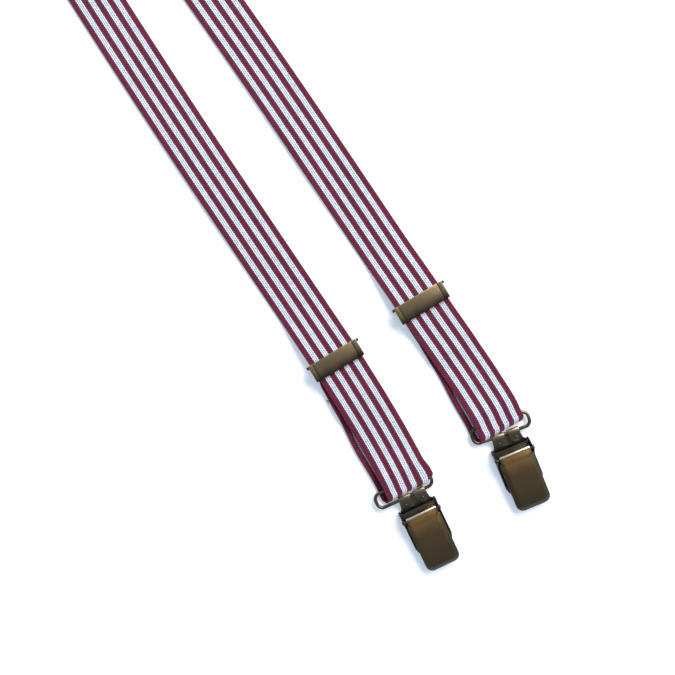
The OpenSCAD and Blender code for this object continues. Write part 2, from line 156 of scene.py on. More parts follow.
# %% [markdown]
# Materials are sums worked out by nodes. Writing them one node at a time is slow to read,
# so Amount wraps a socket and lets Python's own signs add the Math nodes: stripe * (1 - dirt)
# reads as what it does. Finish holds one material, and its add() makes any other node.

# %% Shader maths
class Amount:
    """A number that varies over a surface. Each sign or method adds one Math node."""

    def __init__(self, finish, socket):
        self.finish = finish
        self.socket = socket

    def math(self, operation, *others):
        node = self.finish.add("ShaderNodeMath", {"operation": operation},
                               dict(enumerate((self, *others))))
        return Amount(self.finish, node.outputs[0])

    def __add__(self, other):
        return self.math("ADD", other)

    def __sub__(self, other):
        return self.math("SUBTRACT", other)

    def __mul__(self, other):
        return self.math("MULTIPLY", other)

    def __truediv__(self, other):
        return self.math("DIVIDE", other)

    def __rsub__(self, other):
        return self.math("MULTIPLY", -1) + other

    __radd__ = __add__
    __rmul__ = __mul__

    def rise(self, low, high):
        """0 below low, 1 above high, and a soft step between."""
        node = self.finish.add(
            "ShaderNodeMapRange", {"interpolation_type": "SMOOTHSTEP"},
            {"Value": self, "From Min": low, "From Max": high})
        return Amount(self.finish, node.outputs["Result"])


class Finish:
    """One material, with short ways to add its nodes."""

    def __init__(self, name, **sockets):
        self.material = bpy.data.materials.new(name)
        self.material.use_nodes = True
        self.tree = self.material.node_tree
        self.shader = self.tree.nodes["Principled BSDF"]
        for socket, value in sockets.items():
            self.shader.inputs[socket.replace("_", " ")].default_value = value

    def add(self, kind, settings=None, inputs=None):
        node = self.tree.nodes.new(kind)
        for name, value in (settings or {}).items():
            setattr(node, name, value)
        for name, value in (inputs or {}).items():
            if isinstance(value, Amount):
                value = value.socket
            if isinstance(value, bpy.types.NodeSocket):
                self.tree.links.new(value, node.inputs[name])
            else:
                node.inputs[name].default_value = value
        return node

    def place(self):
        return self.add("ShaderNodeTexCoord").outputs["Object"]

    def axes(self, vector):
        node = self.add("ShaderNodeSeparateXYZ", inputs={"Vector": vector})
        return [Amount(self, output) for output in node.outputs]

    def cut(self):
        """Measures across and along the flat piece, from its own map."""
        return self.axes(self.add("ShaderNodeUVMap", {"uv_map": "cut"}).outputs["UV"])

    def noise(self, scale, detail=3.0, stretch=(1, 1, 1), vector=None):
        moved = self.add("ShaderNodeMapping",
                         inputs={"Vector": vector or self.place(), "Scale": stretch})
        node = self.add("ShaderNodeTexNoise", inputs={
            "Vector": moved.outputs["Vector"], "Scale": scale, "Detail": detail})
        return Amount(self, node.outputs["Fac"])

    def blend(self, first, second, amount):
        node = self.add("ShaderNodeMix", {"data_type": "RGBA"},
                        {0: amount, 6: first, 7: second})
        return node.outputs[2]

    def drive(self, socket, value):
        value = value.socket if isinstance(value, Amount) else value
        self.tree.links.new(value, self.shader.inputs[socket])

    def relief(self, height, strength, distance):
        node = self.add("ShaderNodeBump", inputs={
            "Height": height, "Strength": strength, "Distance": distance})
        self.drive("Normal", node.outputs["Normal"])


def rgb(code):
    """A colour written as six hex digits, in the linear values that shaders use."""
    parts = [int(code[i:i + 2], 16) / 255 for i in (0, 2, 4)]
    return (*[((c + 0.055) / 1.055) ** 2.4 if c > 0.04 else c / 12.92 for c in parts], 1)


print("shader maths ready")

# %% [markdown]
# The webbing is narrow elastic, woven with five wine stripes and four white ones. Each
# stripe is a few cords wide, and the weft crosses them in slanting picks, which makes a
# small herringbone. The pattern follows the flat cut, so it bends with the strap. The
# stripes come from how far a point is from the middle of the nearest wine stripe. The
# colour is painted lighter on the yarn crowns and darker in the weave's hollows, as a
# painted highlight and painted shade.

# %% Webbing finish
STRAP_W = 25 * MM
STRAP_T = 1.2 * MM
STRIPE_PITCH = 5.5 * MM
WINE_HALF = 1.43 * MM
CORD = 0.92 * MM
PICK = 1.25 * MM


def webbing_finish():
    finish = Finish("striped_webbing", Roughness=0.78, Sheen_Weight=0.25, Sheen_Roughness=0.5)
    finish.shader.inputs["Specular IOR Level"].default_value = 0.25
    across, along, _ = finish.cut()
    centred = across - STRAP_W / 2
    repeat = (centred / STRIPE_PITCH + 100.5).math("FRACT") - 0.5
    inner = centred.math("ABSOLUTE").math("LESS_THAN", 2 * STRIPE_PITCH)
    from_wine = repeat.math("ABSOLUTE") * STRIPE_PITCH * inner
    column = across / CORD
    cord_place = column.math("FRACT") - 0.5
    slant = (column * 0.5).math("FRACT").math("GREATER_THAN", 0.5) * 2 - 1
    picks = along / PICK + cord_place * slant * 0.9
    pick_wave = (picks * (2 * math.pi)).math("SINE") * 0.5 + 0.5
    cord_wave = 1 - cord_place.math("ABSOLUTE") * 2
    yarn = cord_wave.rise(0.0, 0.7) * (pick_wave * 0.65 + 0.35)
    fleck = finish.noise(1100, 2.0)
    drift = finish.noise(38, 2.0)
    edge = from_wine + (pick_wave - 0.5) * (0.24 * MM)
    white = edge.rise(WINE_HALF - 0.1 * MM, WINE_HALF + 0.1 * MM)
    # Painted light: the yarn crowns get a painted highlight and the hollows between cords and
    # picks get painted shade; fleck and drift add random tone.
    weave_shade_and_fleck = (yarn * 0.65 + fleck * 0.8 + drift * 0.2).rise(0.4, 1.05)
    wine = finish.blend(rgb("200812"), rgb("7a1b3e"), weave_shade_and_fleck)
    # The white stripes likewise get painted blue-grey shade in their hollows and a painted
    # highlight on their crowns, with random flecks.
    pale = finish.blend(rgb("77879b"), rgb("e6edf4"), (yarn * 0.7 + fleck * 0.8).rise(0.3, 0.95))
    finish.drive("Base Color", finish.blend(wine, pale, white))
    finish.drive("Roughness", yarn * -0.15 + 0.88)
    finish.relief(yarn + fleck * 0.25, 0.75, 0.16 * MM)
    return finish.material


WEBBING = webbing_finish()
print("finish:", WEBBING.name)

# %% [markdown]
# The fittings are antiqued brass: plated, blackened, then rubbed back. A slow noise clouds
# the colour and a fine one breaks up the shine. On the pressed parts the colour also fades
# along the part, golden at the hinge and dark at the tip, which is painted reflection and
# shade; their sloping sides and grooves get painted shade and their rolls a painted
# highlight, and real bevels catch the light on the edges.

# %% Metal finishes
def brass_finish(name, dark, mid, bright, roughness, streak=0.25):
    finish = Finish(name, Metallic=1.0)
    cloud = finish.noise(120, 3.0)
    grain = finish.noise(2400, 2.0, (1, 0.25, 1))
    spots = finish.noise(700, 5.0)
    worn = finish.blend(dark, mid, cloud.rise(0.2, 0.8))
    gold = finish.blend(worn, bright, spots.rise(0.6, 0.8) * 0.3)
    finish.drive("Base Color", gold)
    finish.drive("Roughness", grain * streak + cloud * 0.1 + (roughness - streak / 2 - 0.05))
    finish.relief(grain * 0.5 + spots * 0.5, 0.15, 0.02 * MM)
    return finish.material


def pressing_finish(name, colours, ends, highlight_from, groove_x=0.0, rim=None):
    """Brass of a pressed part, with painted light: golden at the hinge and dark at the tip as
    painted reflection and shade, and a painted highlight in the last colour on its roll.

    ends are the part's two ends in its own measures, groove_x is the place of its grooves,
    which get a painted shade line, and rim tells where its sloping sides and tip begin and
    end, which get painted shade.
    """
    finish = Finish(name, Metallic=1.0)
    across, along, _ = finish.cut()
    low, mid, high, highlight_colour = colours
    cloud = finish.noise(150, 3.0)
    grain = finish.noise(2400, 2.0, (1, 0.25, 1))
    # Painted reflection and shade: the colour runs from golden at the hinge to dark at the tip,
    # with a little random cloud.
    down = (along - ends[0]) / (ends[1] - ends[0]) + (cloud - 0.5) * 0.3
    body = finish.blend(high, mid, down.rise(-0.05, 0.4))
    body = finish.blend(body, low, down.rise(0.4, 1.05))
    # Painted shade: the sloping sides and the tip are darkened.
    if rim:
        slope = across.math("ABSOLUTE").rise(*rim[:2]) + (ends[1] - along).rise(*rim[2:])
        body = finish.blend(body, rgb("3d3d34"), slope.math("MINIMUM", 1) * 0.6)
    # Painted shade: a dark line along each groove.
    if groove_x:
        line = (across.math("ABSOLUTE") - groove_x).math("ABSOLUTE")
        body = finish.blend(rgb("2e261c"), body, line.rise(0.05 * MM, 0.45 * MM))
    # Painted highlight: the last colour, near white, lies on the roll from the given point on.
    edge = along.rise(highlight_from, highlight_from + 0.3 * MM)
    finish.drive("Base Color", finish.blend(body, highlight_colour, edge * (grain * 0.3 + 0.75)))
    finish.drive("Roughness", grain * 0.16 + cloud * 0.08 + edge * -0.06 + 0.24)
    finish.relief(grain, 0.12, 0.02 * MM)
    return finish.material


# Cover: painted reflection from golden at the hinge to dark at the tip, painted shade on its sides
# and tip, and a near-white painted highlight on its roll.
COVER_BRASS = pressing_finish(
    "cover_brass", [rgb(code) for code in ("564b3a", "6a563c", "a27c4c", "ffeed0")],
    (-11 * MM, -39 * MM), -10.3 * MM, rim=(6.2 * MM, 8.0 * MM, -2.6 * MM, -0.9 * MM))
# Adjuster plate: lighter at the hinge and nearly black at the lower edge as painted shadow,
# painted shade in the grooves and a painted highlight on the roll.
PLATE_BRASS = pressing_finish(
    "plate_brass", [rgb(code) for code in ("3a3127", "8c7858", "a08c68", "ffefd2")],
    (4.5 * MM, -4.8 * MM), 4.2 * MM, 11.3 * MM)
FRAME_BRASS = brass_finish("frame_brass", rgb("574a3c"), rgb("7c6b5a"), rgb("b7a084"), 0.3)
# Clip base: lighter on the tabs and darker down into the hollow as painted shade, with a painted
# highlight on the tab curls.
BASE_BRASS = pressing_finish(
    "base_brass", [rgb(code) for code in ("45413a", "655c4e", "93856c", "d9c7a2")],
    (1.6 * MM, -7 * MM), 0.9 * MM)
# Darker brass for the pins and jaws; on the jaw deep in the clip's hollow this darker colour is
# also painted shade.
DARK_BRASS = brass_finish("dark_brass", rgb("45413a"), rgb("675e50"), rgb("a8977a"), 0.34)
print("metals:", COVER_BRASS.name, PLATE_BRASS.name, FRAME_BRASS.name, DARK_BRASS.name)

# %% [markdown]
# Small finishes: matt rubber for the grip pads, sewing thread with its twist, grained
# leather for the patch with a paler flesh side for the lining, and the white card floor.

# %% Rubber, thread, leather and card
def rubber_finish():
    finish = Finish("pad_rubber")
    mould = finish.noise(1500, 3.0)
    finish.drive("Base Color", finish.blend(rgb("141414"), rgb("2a2928"), mould.rise(0.4, 0.7)))
    finish.drive("Roughness", mould * 0.2 + 0.6)
    finish.relief(mould, 0.3, 0.05 * MM)
    return finish.material


def thread_finish(name, low, high):
    finish = Finish(name, Sheen_Weight=0.3)
    x, y, z = finish.axes(finish.place())
    twist = ((x + y * 0.6 + z) * (2 * math.pi / (0.5 * MM))).math("SINE") * 0.5 + 0.5
    fuzz = finish.noise(3000, 2.0)
    finish.drive("Base Color", finish.blend(low, high, twist * 0.7 + fuzz * 0.3))
    finish.drive("Roughness", fuzz * 0.2 + 0.55)
    finish.relief(twist, 0.5, 0.06 * MM)
    return finish.material


def leather_finish(name, low, mid, high, grain_scale):
    finish = Finish(name, Sheen_Weight=0.08)
    pebble = finish.add("ShaderNodeTexVoronoi", {"feature": "SMOOTH_F1"}, {
        "Vector": finish.place(), "Scale": grain_scale})
    cells = Amount(finish, pebble.outputs["Distance"])
    cloud = finish.noise(45, 4.0)
    pores = finish.noise(grain_scale * 2.2, 3.0)
    base = finish.blend(low, mid, cloud.rise(0.3, 0.7))
    finish.drive("Base Color", finish.blend(base, high, cells.rise(0.25, 0.75) * 0.35))
    finish.drive("Roughness", cells * 0.15 + pores * 0.2 + 0.38)
    finish.relief(cells * -0.7 + pores * 0.4, 0.5, 0.18 * MM)
    return finish.material


def card_finish():
    finish = Finish("white_card", Roughness=0.9, Emission_Strength=0.32)
    tooth = finish.noise(320, 4.0)
    finish.shader.inputs["Emission Color"].default_value = (0.8, 0.9, 1.0, 1)
    finish.drive("Base Color", finish.blend(rgb("f4f6fb"), rgb("fafbff"), tooth))
    finish.relief(tooth, 0.05, 0.1 * MM)
    return finish.material


RUBBER = rubber_finish()
WHITE_THREAD = thread_finish("white_thread", rgb("b9c2cc"), rgb("f2f5f8"))
WINE_THREAD = thread_finish("wine_thread", rgb("3c0a1c"), rgb("8c1c42"))
CREAM_THREAD = thread_finish("cream_thread", rgb("b59a6c"), rgb("ead9b4"))
LEATHER = leather_finish("patch_leather", rgb("3a1a10"), rgb("5c2e1c"), rgb("7c452c"), 900)
LINING = leather_finish("patch_lining", rgb("6b4a34"), rgb("80583c"), rgb("967050"), 1500)
floor.data.materials.append(card_finish())
print("soft finishes:", RUBBER.name, WHITE_THREAD.name, LEATHER.name, LINING.name)

# %% [markdown]
# The next helpers work the way a hand does in the viewport: deselect, make a piece active,
# enter edit mode, select what is wanted by its place, run an operator, come back out.

# %% Modelling helpers
def clear_selection():
    if bpy.context.object and bpy.context.object.mode == "EDIT":
        bpy.ops.object.mode_set(mode="OBJECT")
    bpy.ops.object.select_all(action="DESELECT")


def activate(piece):
    clear_selection()
    piece.select_set(True)
    bpy.context.view_layer.objects.active = piece


def name_piece(name):
    """Names the primitive that was just added, and puts its place in its mesh."""
    piece = bpy.context.object
    piece.name = piece.data.name = name
    bpy.ops.object.transform_apply(location=True, rotation=True, scale=True)
    return piece


def add_plane(name, width, y_low, y_high, z=0):
    """A plane across X, from y_low to y_high."""
    clear_selection()
    bpy.ops.mesh.primitive_plane_add(size=1, location=(0, (y_low + y_high) / 2, z))
    bpy.context.object.scale = (width, y_high - y_low, 1)
    return name_piece(name)


def add_rod(name, radius, length, edge, place=(0, 0, 0), sides=32):
    """A rod along X whose ends are rounded by edge."""
    clear_selection()
    bpy.ops.mesh.primitive_cylinder_add(vertices=sides, radius=radius, depth=length,
                                        location=place, rotation=(0, math.radians(90), 0))
    rod = name_piece(name)
    bevel_edges(rod, edge, 2, 50)
    return rod


def middle(element):
    corners = getattr(element, "verts", None) or [element]
    return sum((corner.co for corner in corners), Vector()) / len(corners)


def pick(piece, kind, wanted):
    """Edit mode, with only the verts, edges or faces selected whose middle is wanted."""
    activate(piece)
    bpy.ops.object.mode_set(mode="EDIT")
    bpy.ops.mesh.select_mode(type=kind)
    bpy.ops.mesh.select_all(action="DESELECT")
    shape = bmesh.from_edit_mesh(piece.data)
    parts = {"VERT": shape.verts, "EDGE": shape.edges, "FACE": shape.faces}[kind]
    for part in parts:
        part.select_set(bool(wanted(middle(part))))
    shape.select_flush_mode()
    bmesh.update_edit_mesh(piece.data)


def extrude(move, scale=None):
    bpy.ops.mesh.extrude_region_move(TRANSFORM_OT_translate={"value": move})
    if scale:
        bpy.ops.transform.resize(value=scale)


def cut_across(piece, point, normal):
    """Bisects the whole piece with a plane and keeps both sides."""
    pick(piece, "FACE", lambda place: True)
    bpy.ops.mesh.bisect(plane_co=point, plane_no=normal)
    bpy.ops.object.mode_set(mode="OBJECT")


def apply_modifier(piece, kind, **settings):
    activate(piece)
    modifier = piece.modifiers.new(kind.lower(), kind)
    for name, value in settings.items():
        setattr(modifier, name, value)
    bpy.ops.object.modifier_apply(modifier=modifier.name)


def bevel_edges(piece, width, segments=3, angle=35):
    apply_modifier(piece, "BEVEL", width=width, segments=segments, limit_method="ANGLE",
                   angle_limit=math.radians(angle), harden_normals=False)


def smooth(piece, angle=40):
    activate(piece)
    bpy.ops.object.shade_smooth_by_angle(angle=math.radians(angle))


def join(pieces):
    """Joins pieces into the first one, as Ctrl+J does."""
    activate(pieces[0])
    for piece in pieces[1:]:
        piece.select_set(True)
    bpy.ops.object.join()
    return pieces[0]


def outward(piece):
    activate(piece)
    bpy.ops.object.mode_set(mode="EDIT")
    bpy.ops.mesh.select_all(action="SELECT")
    bpy.ops.mesh.remove_doubles(threshold=0.00001)
    bpy.ops.mesh.normals_make_consistent(inside=False)
    bpy.ops.object.mode_set(mode="OBJECT")


def give(piece, material):
    piece.data.materials.clear()
    piece.data.materials.append(material)


def keep_measures(piece):
    """Stores each point's own X and Y in the map "cut", so that copies can fade by them."""
    chart = piece.data.uv_layers.get("cut") or piece.data.uv_layers.new(name="cut")
    for loop in piece.data.loops:
        chart.data[loop.index].uv = piece.data.vertices[loop.vertex_index].co.to_2d()
    for other in [layer.name for layer in piece.data.uv_layers if layer.name != "cut"]:
        piece.data.uv_layers.remove(piece.data.uv_layers[other])


def set_down(pattern, name, place):
    """A copy of a finished pattern, with its own mesh, moved to its place in the model."""
    piece = bpy.data.objects.new(name, pattern.data.copy())
    piece.data.name = name
    bpy.context.collection.objects.link(piece)
    piece.data.transform(place)
    return piece


def fit(piece, body, slot, *nodes):
    """Ties a piece to its body, and lets it stand for its plain CAD nodes. slot is not used."""
    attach(piece, body)
    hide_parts(*nodes)


def fit_copies(pattern, places, name, body, slot, node):
    """Sets a pattern down at each of its places, fits the copies, and clears it away."""
    for which, place in places.items():
        piece = set_down(pattern, f"{which}_{name}", place)
        fit(piece, f"{which}_{body}", slot, f"{which}_{node}")
    bpy.data.objects.remove(pattern)
    print(name, "set down:", len(places))


print("modelling helpers ready")

# %% [markdown]
# A strap is cut flat and then laid: its route runs down over the adjuster, round the ring
# and back. A route is a list of stations, each a place and the turn of the webbing's cross
# direction. The functions below give the sideways drift and the height of each layer, as
# the working model has them, in millimetres from the point between the adjusters.

# %% Routes of the straps
LOOP_RUN = 76.6
SHOULDER_RUN = 640
PATCH_LENGTH = 72
BACK_FOLD = SHOULDER_RUN + PATCH_LENGTH - 30 + 230
HALF_SPACING = 26
FOLD_STUB = 10
FOLD_RADIUS = 1.6
FOLD_X = {"left": -31.3, "right": 24.6}
FOLD_TURN = {"left": -5, "right": -4}
SIGN = {"left": -1, "right": 1}
DRIFT = {"left": 2.1, "right": 1.7}
DRIFT_POWER = {"left": 3, "right": 5}
ADJUSTER_TURN = -3
FLOOR_LAYER, SECOND_LAYER, THIRD_LAYER = 0.6, 1.9, 3.15
OVER_BAR, OVER_ADJUSTER = 2.75, 4.0
RING_BAR = RING_Z / MM


def ease(t):
    t = min(1, max(0, t))
    return t * t * (3 - 2 * t)


def strap_x(side, y):
    start = SIGN[side] * HALF_SPACING
    if y >= 0:
        inward = (HALF_SPACING - 12.8) * ease((y - 100) / (SHOULDER_RUN - 100))
        return start - SIGN[side] * inward
    down = min(1, -y / LOOP_RUN)
    drift = SIGN[side] * DRIFT[side]
    return start + drift * down + (FOLD_X[side] - start - drift) * down ** DRIFT_POWER[side]


def strap_turn(side, y):
    return FOLD_TURN[side] * ease((-y - 20) / (LOOP_RUN - 20 - FOLD_STUB))


def height_at(knots, y):
    if y >= knots[0][0]:
        return knots[0][1]
    for (y_high, z_high), (y_low, z_low) in zip(knots, knots[1:]):
        if y > y_low:
            return z_high + (z_low - z_high) * ease((y_high - y) / (y_high - y_low))
    return knots[-1][1]


SLIP = {"left": [(-4, 0), (-8, 1.3), (-22, 2.1), (-46, 3.7), (-67, 3.0)],
        "right": [(-4, 0), (-14, 0.4), (-30, 1.4), (-58, 3.6), (-67, 3.6)]}


def slip(side, y):
    """How far the returning layer lies to the left of the front one."""
    return height_at(SLIP[side], y)


def run(start, stop, step):
    count = max(1, math.ceil(abs(stop - start) / step))
    return [start + (stop - start) * i / count for i in range(count + 1)]


SHOULDER_HEIGHTS = [(SHOULDER_RUN, 1.85), (SHOULDER_RUN - 40, FLOOR_LAYER),
                    (34, FLOOR_LAYER), (5, OVER_ADJUSTER)]
FRONT_HEIGHTS = [(-6, OVER_ADJUSTER), (-14, THIRD_LAYER), (-24.4, THIRD_LAYER),
                 (-37.4, SECOND_LAYER), (-54, SECOND_LAYER),
                 (FOLD_STUB - LOOP_RUN, RING_BAR + FOLD_RADIUS)]
RETURN_HEIGHTS = [(-6, OVER_BAR), (-10, SECOND_LAYER), (-24.4, SECOND_LAYER),
                  (-31.4, FLOOR_LAYER), (-54, FLOOR_LAYER),
                  (FOLD_STUB - LOOP_RUN, RING_BAR - FOLD_RADIUS)]


def shoulder_route(side):
    route = []
    for y in run(SHOULDER_RUN + 34, -0.5, 4):
        # The webbing isn't ironed flat: it lifts a little between the patch and adjuster
        lift = 0.5 * ease((y - 40) / 60) * ease((560 - y) / 80) * (1 + math.sin(y / 47))
        route.append((strap_x(side, y), y, height_at(SHOULDER_HEIGHTS, y) + lift * 0.5, 0))
    return route


def loop_route(side):
    """The front layer, the fold round the ring, the return, and the tail round the bar."""
    fold_y = FOLD_STUB - LOOP_RUN
    route = [(strap_x(side, y), y, height_at(FRONT_HEIGHTS, y), strap_turn(side, y))
             for y in run(-0.6, fold_y, 1.5)]
    turn = math.radians(FOLD_TURN[side])
    stub = (strap_x(side, fold_y) - FOLD_X[side]) * math.cos(turn) + FOLD_STUB * math.sin(turn)
    for y in run(8, FOLD_RADIUS + 0.6, 1.5):
        x = stub * ease((y - 3) / (FOLD_STUB - 3))
        route.append((x, y, RING_BAR + FOLD_RADIUS, "fold"))
    for angle in run(100, 260, 10):
        part = math.radians(angle)
        away = (angle - 90) / 180 * slip(side, -LOOP_RUN)
        route.append((-away, 0.6 + FOLD_RADIUS + FOLD_RADIUS * math.cos(part),
                      RING_BAR + FOLD_RADIUS * math.sin(part), "fold"))
    for y in run(FOLD_RADIUS + 0.6, 8, 1.5):
        x = stub * ease((y - 3) / (FOLD_STUB - 3)) - slip(side, -LOOP_RUN)
        route.append((x, y, RING_BAR - FOLD_RADIUS, "fold"))
    laid = []
    for x, y, z, way in route:
        if way == "fold":
            spot = Matrix.Rotation(turn, 2) @ Vector((x, y))
            laid.append((FOLD_X[side] + spot.x, spot.y - LOOP_RUN, z, FOLD_TURN[side]))
        else:
            laid.append((x, y, z, way))
    laid += [(strap_x(side, y) - slip(side, y), y, height_at(RETURN_HEIGHTS, y),
              strap_turn(side, y)) for y in run(fold_y, -6, 1.5)]
    bar_x, bar_y, bar_turn_radius = strap_x(side, -6), -3.4, 1.05
    laid += [(bar_x, bar_y + bar_turn_radius * math.cos(math.radians(angle)),
              OVER_BAR - bar_turn_radius + bar_turn_radius * math.sin(math.radians(angle)),
              ADJUSTER_TURN) for angle in run(100, -90, 15)]
    laid += [(strap_x(side, y) - slip(side, y), y, FLOOR_LAYER, 0) for y in run(-7.4, -23.4, 2)]
    return laid


BACK_HEIGHTS = [(BACK_FOLD - 10, RING_BAR + FOLD_RADIUS), (BACK_FOLD - 18, SECOND_LAYER),
                (BACK_FOLD - 30, SECOND_LAYER), (BACK_FOLD - 42, FLOOR_LAYER),
                (SHOULDER_RUN + 84, FLOOR_LAYER), (SHOULDER_RUN + 72, 1.85)]
BACK_TAIL_HEIGHTS = [(BACK_FOLD - 10, RING_BAR - FOLD_RADIUS), (BACK_FOLD - 16, FLOOR_LAYER)]


def back_route():
    ring_y = BACK_FOLD - FOLD_RADIUS - 0.6
    route = [(0, y, height_at(BACK_HEIGHTS, y), 0)
             for y in run(SHOULDER_RUN + 38, ring_y - 0.5, 2)]
    route += [(0, ring_y + FOLD_RADIUS * math.cos(math.radians(angle)),
               RING_BAR + FOLD_RADIUS * math.sin(math.radians(angle)), 0)
              for angle in run(80, -80, 10)]
    route += [(0, y, height_at(BACK_TAIL_HEIGHTS, y), 0)
              for y in run(ring_y - 0.5, BACK_FOLD - 30, 1.5)]
    return route


print("loop stations:", len(loop_route("left")), "back stations:", len(back_route()))

# %% [markdown]
# Laying a strap: a flat grid is added, its map keeps the measures of the cut, and each of
# its points moves to the same length along the route. Solidify gives the webbing its
# thickness and Bevel rounds its woven edges. A cloth simulation would stretch a tape this
# stiff, so the strap is placed directly.

# %% Laying a strap
STRIP_COLUMNS = 18


def lay_strap(name, route, spread=None, row=1.0):
    stations = [Vector(station[:3]) for station in route]
    turns = [math.radians(station[3]) for station in route]
    reach = [0.0]
    for a, b in zip(stations, stations[1:]):
        reach.append(reach[-1] + (b - a).length)
    length = reach[-1]
    clear_selection()
    bpy.ops.mesh.primitive_grid_add(x_subdivisions=STRIP_COLUMNS,
                                    y_subdivisions=round(length / row), size=1)
    strap = name_piece(name)
    strap.data.uv_layers[0].name = "cut"
    cut = []
    for vertex in strap.data.vertices:
        across, along = vertex.co.x * STRAP_W / MM, (0.5 - vertex.co.y) * length
        cut.append(((across * MM + STRAP_W / 2), along * MM))
        i = min(max(bisect.bisect(reach, along) - 1, 0), len(reach) - 2)
        share = (along - reach[i]) / (reach[i + 1] - reach[i])
        turn = turns[i] + (turns[i + 1] - turns[i]) * share
        side_way = Vector((math.cos(turn), math.sin(turn), 0))
        place = stations[i].lerp(stations[i + 1], share) + side_way * across
        if spread:
            place += spread(across, place)
        vertex.co = laid_at(*place)
    for loop in strap.data.loops:
        strap.data.uv_layers["cut"].data[loop.index].uv = cut[loop.vertex_index]
    apply_modifier(strap, "SOLIDIFY", thickness=STRAP_T, offset=0)
    bevel_edges(strap, 0.42 * MM, 3, 60)
    activate(strap)
    bpy.ops.object.shade_smooth()
    give(strap, WEBBING)
    return strap, length * MM


FOLD_SAG, SAG_Y = 1.3, -78
CORNER_LEAN, CORNER_DRAW, CORNER_LIFT, CORNER_Y = 1.3, 0.7, 2.4, -73


def slack(side):
    """How a fold hangs slack round the ring. The left one also leans over the ring's end,
    where its corner is round."""
    def spread(across, place):
        sag = FOLD_SAG * ease(1 - abs(place.y - SAG_Y) / 9)
        if side == "right":
            return Vector((0, -sag, 0))
        top = ease((place.z - RING_BAR - 0.7) / 0.7)
        near = ease(1 - abs(place.y - CORNER_Y) / 7.5) * ease((across - 3) / 9.5)
        corner = ease((CORNER_Y - 1 - place.y) / 4) * ease((across - 7) / 5.5)
        return Vector((CORNER_LEAN * near * top - CORNER_DRAW * corner,
                       CORNER_LIFT * corner - sag * ease((across - 1) / 10), 0.3 * near * top))
    return spread


for side in SIDES:
    strap, length = lay_strap(f"{side}_strap_webbing", shoulder_route(side))
    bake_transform(strap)
    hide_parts(f"{side}_strap")
    print(strap.name, "cut", round(length / MM), "mm")
    loop, length = lay_strap(f"{side}_loop_webbing", loop_route(side), slack(side), 0.6)
    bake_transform(loop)
    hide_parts(f"{side}_loop_front", f"{side}_loop_fold", f"{side}_loop_return",
                f"{side}_sewn_end")
    print(loop.name, "cut", round(length / MM), "mm")
back_strap, length = lay_strap("back_strap_webbing", back_route())
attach(back_strap, "root")
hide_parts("back_strap")
print(back_strap.name, "cut", round(length / MM), "mm")

# %% [markdown]
# The wire ring is a bent wire with two straight bars. A torus is the same wire bent round,
# so its halves are pulled apart: first left and right, which draws out the bars, and then
# front and back, which sets the space between them. The wire is drawn a little fuller than
# the working model's, and the left ring sits off centre in its fold.

# %% Wire rings
RING_W, RING_H, WIRE = 32 * MM, 9.2 * MM, 1.6 * MM
RING_CORNER, FULL_RADIUS = 3 * MM, 0.9 * MM
RING_SLIP = {"left": -2.5 * MM, "right": 0, "back": 0}


def ring_pattern():
    clear_selection()
    bpy.ops.mesh.primitive_torus_add(major_radius=RING_CORNER, minor_radius=FULL_RADIUS,
                                     major_segments=40, minor_segments=20,
                                     location=(0, (RING_H - WIRE) / 2, RING_Z))
    ring = name_piece("ring_pattern")
    half = (RING_W - WIRE) / 2 - RING_CORNER
    rise = (RING_H - WIRE) / 2 - RING_CORNER
    axis_y = (RING_H - WIRE) / 2
    close = 0.01 * MM
    for sign in (1, -1):
        pick(ring, "VERT", lambda place: place.x * sign > close)
        bpy.ops.transform.translate(value=(sign * half, 0, 0))
        pick(ring, "VERT", lambda place: (place.y - axis_y) * sign > close)
        bpy.ops.transform.translate(value=(0, sign * rise, 0))
    outward(ring)
    activate(ring)
    bpy.ops.object.shade_smooth()
    give(ring, FRAME_BRASS)
    return ring


slipped = {end: RING_FRAME[end] @ Matrix.Translation((RING_SLIP[end], 0, 0)) for end in ENDS}
fit_copies(ring_pattern(), slipped, "clip_wire", "ring", "brass_frame", "clip_ring")

# %% [markdown]
# The base of the clip is one stamped sheet. It is drawn as a sheet with no thickness: a
# plate, a narrower neck that rises to the ring, and two tabs. The tabs are curled round the
# wire with Spin, which turns an edge about the bar just as the press does, and their ends
# are laid back on the plate. Solidify then gives the sheet its gauge.

# %% Clip bases
SHEET = 0.7 * MM
PLATE_HALF, NECK_HALF, TAB_HALF, NOTCH_HALF = 9.8 * MM, 8.0 * MM, 7.2 * MM, 1.0 * MM
TAB_RADIUS = 1.25 * MM
BASE_TIP, NECK_FOOT = -30 * MM, -7 * MM
DIMPLE = Vector((4.65, -3.4, 3.2)) * MM


